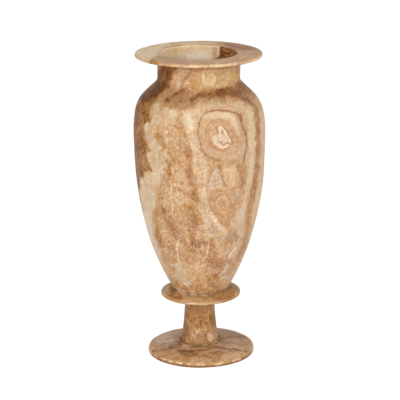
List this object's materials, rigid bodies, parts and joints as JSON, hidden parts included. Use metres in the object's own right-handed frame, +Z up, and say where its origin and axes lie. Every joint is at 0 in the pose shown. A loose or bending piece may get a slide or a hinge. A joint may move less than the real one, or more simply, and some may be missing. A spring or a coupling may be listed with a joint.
{
  "type": "alabaster vase",
  "caption": "Tall turned stone vase: wide flat rim, upright neck, shouldered hollow belly, thin collar, slim stem and round disc foot.",
  "frame": {"origin": "centre of the foot's flat underside, on the surface that the vase stands on", "axes": "+Z up along the turning axis, out of the mouth; the side that faces the picture's camera looks towards -Y"},
  "size_m": [0.1268, 0.1268, 0.3],
  "materials": {
    "vessel_alabaster": "satin polished banded calcite alabaster, honey and cream bands round a pale nodule",
    "collar_alabaster": "satin polished banded calcite alabaster, golden brown",
    "stem_alabaster": "satin polished banded calcite alabaster, mottled brown",
    "foot_alabaster": "satin polished banded calcite alabaster, brown with thin dark bands",
    "joint_filler": "matt lime filler tinted with stone dust"
  },
  "bodies": {
    "root": {"foot_disc": "foot_alabaster", "stem": "stem_alabaster", "collar_disc": "collar_alabaster", "vessel_body": "vessel_alabaster", "foot_bedding": "joint_filler", "collar_bedding": "joint_filler", "vessel_bedding": "joint_filler", "foot_bead": "joint_filler", "vessel_bead": "joint_filler"}
  },
  "joints": []
}
